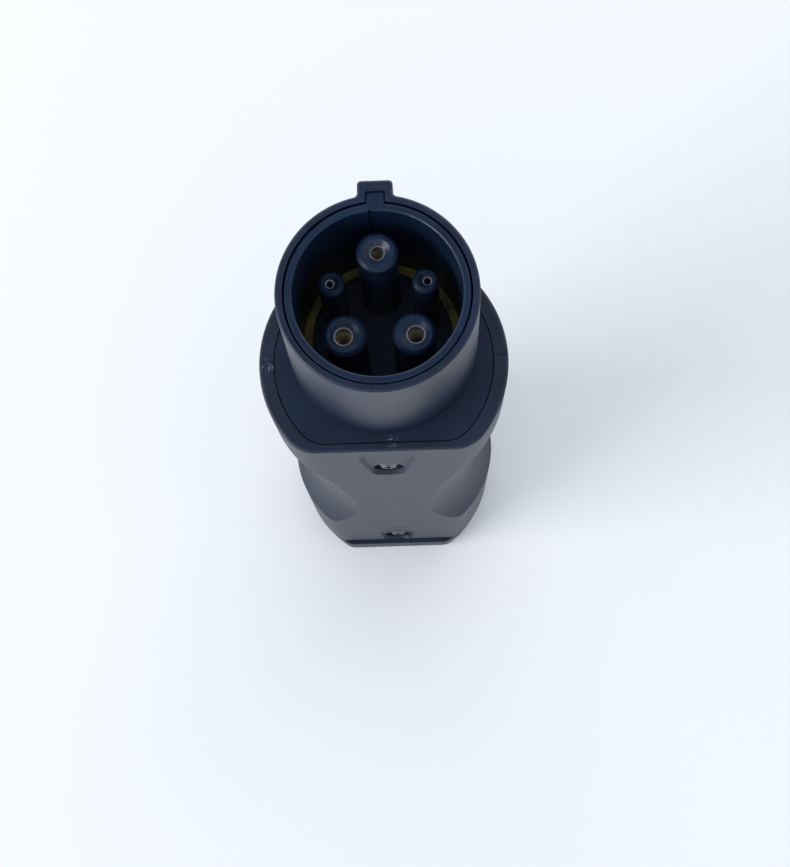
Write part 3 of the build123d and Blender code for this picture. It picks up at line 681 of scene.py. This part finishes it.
class AdapterScrewSettings(bpy.types.PropertyGroup):
    head_height: length_setting("Head height", "Height of each screw's head", 1.7 * MM)
    cross_length: length_setting("Cross length", "Length of the cross recess", 2.6 * MM)
    cross_width: length_setting("Cross width", "Width of each slot of the cross", 0.7 * MM)
    cross_depth: length_setting("Cross depth", "Depth of the cross recess", 0.9 * MM)
    thread_radius: length_setting("Thread radius", "Outer radius of the thread", 1.2 * MM)
    pitch: length_setting("Pitch", "Rise of the thread in one turn", 0.7 * MM)


class AdapterStageSettings(bpy.types.PropertyGroup):
    floor_colour: colour_setting(
        "Floor colour", "Colour of the plain floor", (0.895, 0.90, 0.91)
    )
    card_size: length_setting("Card size", "Side of the dark card over the camera", 0.5)
    lens: bpy.props.FloatProperty(
        name="Lens",
        description="Focal length of the camera",
        default=86.57,
        min=10.0,
        unit="CAMERA",
    )


# Finishes

def dress(names, material):
    """Give CAD nodes a material."""
    for name in names:
        for slot in NODES[name].material_slots:
            slot.material = material


class ADAPTER_OT_body(bpy.types.Operator):
    """Finish the two halves of the body and the inlet's housing"""

    bl_idname = "adapter.body"
    bl_label = "Body"

    def execute(self, context):
        settings = context.scene.adapter_body
        plastic = moulded_plastic(
            "body_plastic", settings.colour, settings.roughness, settings.grain, BODY_SCUFFS
        )
        dress(["front_shell", "back_shell", "inlet_housing"], plastic)
        return {"FINISHED"}


class ADAPTER_OT_nozzle(bpy.types.Operator):
    """Finish the nozzle, the insulators and the gasket"""

    bl_idname = "adapter.nozzle"
    bl_label = "Nozzle"

    def execute(self, context):
        settings = context.scene.adapter_nozzle
        grain = context.scene.adapter_body.grain
        plastic = moulded_plastic(
            "nozzle_plastic", settings.colour, settings.roughness, grain, PLATE_SCUFFS
        )
        insulator = moulded_plastic(
            "insulator_plastic",
            settings.insulator_colour,
            settings.roughness - INSULATOR_SMOOTHER,
            grain / 2,
            shine=settings.shine,
        )
        colour = settings.gasket_colour
        rubber = soft_rubber("gasket_rubber", tint(colour, 1.0), tint(colour, 0.5), 0.5)
        dress(["nozzle_housing"], plastic)
        dress(["contact_carrier", "contact_retainer", "pin_retainer"], insulator)
        dress(["inlet_power_pin_tip_1", "inlet_power_pin_tip_2"], insulator)
        dress(["cavity_gasket"], rubber)
        return {"FINISHED"}


class ADAPTER_OT_contacts(bpy.types.Operator):
    """Finish the sockets and the pins, and make the louvred springs"""

    bl_idname = "adapter.contacts"
    bl_label = "Contacts"

    def execute(self, context):
        settings = context.scene.adapter_contacts
        silver = plated_metal("contact_silver", settings.silver, 0.36)
        gold = plated_metal("spring_gold", settings.gold, 0.55, 0.55)
        dress([name for name in NODES if "socket" in name], silver)
        pins = [name for name in NODES if name.startswith("inlet_") and "pin" in name]
        dress([name for name in pins if "tip" not in name], silver)
        tree = louvred_spring_tree()
        for name in [name for name in NODES if "crown_spring" in name]:
            dress([name], gold)
            size = high(name) - low(name)
            values = {
                "Louvres": settings.louvres,
                "Radius": size.x / 2,
                "Length": size.z,
                "Thickness": settings.thickness,
                "Waist": settings.waist,
                "Ring": settings.ring,
                "Strip share": settings.strip_share,
                "Turn": (0.0, 0.0, 0.0),
                "Material": gold,
            }
            piece = bake(name + "_louvres", tree, [centre(name)], values)
            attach(piece, "root")
            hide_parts(name)
        return {"FINISHED"}


class ADAPTER_OT_screws(bpy.types.Operator):
    """Make the threaded screws in place of the plain ones"""

    bl_idname = "adapter.screws"
    bl_label = "Screws"

    def execute(self, context):
        settings = context.scene.adapter_screws
        steel = plated_metal("screw_steel", STEEL, 0.34)
        tree = threaded_screw_tree()
        for name, axis, head_side, turn in SCREW_GROUPS:
            dress([name], steel)
            boxes = seats(name, axis)
            points = []
            for lowest, highest in boxes:
                point = (lowest + highest) / 2
                head_end = highest if head_side > 0 else lowest
                point[axis] = head_end[axis] - head_side * settings.head_height
                points.append(point)
            lowest, highest = boxes[0]
            values = {
                "Head radius": (highest[0] - lowest[0]) / 2,
                "Head height": settings.head_height,
                "Cross length": settings.cross_length,
                "Cross width": settings.cross_width,
                "Cross depth": settings.cross_depth,
                "Thread radius": settings.thread_radius,
                "Length": highest[axis] - lowest[axis] - settings.head_height,
                "Pitch": settings.pitch,
                "Turn": (turn, 0.0, 0.0),
                "Material": steel,
            }
            piece = bake(name + "_threaded", tree, points, values)
            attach(piece, "root")
            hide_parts(name)
        return {"FINISHED"}


class ADAPTER_OT_wires(bpy.types.Operator):
    """Finish the wires and the resistor inside the body"""

    bl_idname = "adapter.wires"
    bl_label = "Wires"

    def execute(self, context):
        for name, colour, shade, roughness, nodes in INNER_LOOKS:
            dress(nodes, soft_rubber(name, colour, shade, roughness))
        return {"FINISHED"}


def flat_square(name, half, height, material):
    """A level square on the stage, at a height."""
    mesh = bpy.data.meshes.new(name)
    corners = [(-half, -half, height), (half, -half, height)]
    corners += [(half, half, height), (-half, half, height)]
    mesh.from_pydata(corners, [], [(0, 1, 2, 3)])
    mesh.materials.append(material)
    return add_object(name, mesh)


class ADAPTER_OT_stage(bpy.types.Operator):
    """Make the floor, the lamps, the world, the card and the camera"""

    bl_idname = "adapter.stage"
    bl_label = "Stage"

    def execute(self, context):
        settings = context.scene.adapter_stage
        self.make_floor(settings)
        self.make_lights(context.scene)
        self.make_card(settings)
        self.make_camera(context.scene, settings)
        context.scene.view_settings.view_transform = "Standard"
        return {"FINISHED"}

    def make_floor(self, settings):
        """A plain pale floor under the adapter."""
        dark, light = tint(settings.floor_colour, 0.985), tint(settings.floor_colour, 1.0)
        paper = dull_sheet("floor_paper", FLOOR_CLOUD_SIZE, dark, light, FLOOR_ROUGHNESS)
        floor = flat_square("floor", FLOOR_HALF, 0.0, paper)

    def make_lights(self, scene):
        """A pale world and two windows that face the adapter."""
        world = bpy.data.worlds.new("studio")
        world.use_nodes = True
        background = world.node_tree.nodes["Background"]
        background.inputs["Color"].default_value = WORLD_COLOUR
        background.inputs["Strength"].default_value = WORLD_STRENGTH
        scene.world = world
        for name, place, width, height, power in LAMPS:
            lamp = bpy.data.lights.new(name, "AREA")
            lamp.shape = "RECTANGLE"
            lamp.size = width
            lamp.size_y = height
            lamp.energy = power
            holder = add_object(name, lamp)
            holder.location = place
            facing = (LAMP_TARGET - Vector(place)).to_track_quat("-Z", "Y")
            holder.rotation_euler = facing.to_euler()

    def make_card(self, settings):
        """A dark card over the camera, so that the upward faces mirror something dark."""
        felt = dull_sheet("card_felt", CARD_CLOUD_SIZE, CARD_DARK, CARD_LIGHT, 1.0)
        card = flat_square("dark_card", settings.card_size / 2, CARD_HEIGHT, felt)
        card.location.y = CARD_BACK

    def make_camera(self, scene, settings):
        """The camera of the photo."""
        data = bpy.data.cameras.new("camera")
        data.sensor_fit = "HORIZONTAL"
        data.sensor_width = SENSOR_WIDTH
        data.lens = settings.lens
        data.clip_start = CLIP_START
        turn = Matrix((CAMERA_RIGHT, -CAMERA_DOWN, -CAMERA_FORWARD)).transposed().to_4x4()
        camera = add_object("camera", data)
        camera.matrix_world = Matrix.Translation(CAMERA_PLACE) @ turn
        scene.camera = camera


class ADAPTER_PT_panel(bpy.types.Panel):
    """Shows the settings and the steps of the adapter"""

    bl_idname = "ADAPTER_PT_panel"
    bl_label = "Charging adapter"
    bl_space_type = "VIEW_3D"
    bl_region_type = "UI"
    bl_category = "Adapter"

    def draw(self, context):
        for group in GROUPS:
            settings = getattr(context.scene, group)
            box = self.layout.box()
            for name in settings.__annotations__:
                box.prop(settings, name)
        for operator in OPERATORS:
            self.layout.operator(operator.bl_idname)


GROUPS = {
    "adapter_body": AdapterBodySettings,
    "adapter_nozzle": AdapterNozzleSettings,
    "adapter_contacts": AdapterContactSettings,
    "adapter_screws": AdapterScrewSettings,
    "adapter_stage": AdapterStageSettings,
}
OPERATORS = (
    ADAPTER_OT_body,
    ADAPTER_OT_nozzle,
    ADAPTER_OT_contacts,
    ADAPTER_OT_screws,
    ADAPTER_OT_wires,
    ADAPTER_OT_stage,
)


def register():
    for name, group in GROUPS.items():
        bpy.utils.register_class(group)
        setattr(bpy.types.Scene, name, bpy.props.PointerProperty(type=group))
    for operator in OPERATORS:
        bpy.utils.register_class(operator)
    bpy.utils.register_class(ADAPTER_PT_panel)


def unregister():
    bpy.utils.unregister_class(ADAPTER_PT_panel)
    for operator in reversed(OPERATORS):
        bpy.utils.unregister_class(operator)
    for name, group in GROUPS.items():
        delattr(bpy.types.Scene, name)
        bpy.utils.unregister_class(group)


def main():
    register()
    bpy.ops.adapter.body()
    bpy.ops.adapter.nozzle()
    bpy.ops.adapter.contacts()
    bpy.ops.adapter.screws()
    bpy.ops.adapter.wires()
    bpy.ops.adapter.stage()


if __name__ == "__main__":
    main()
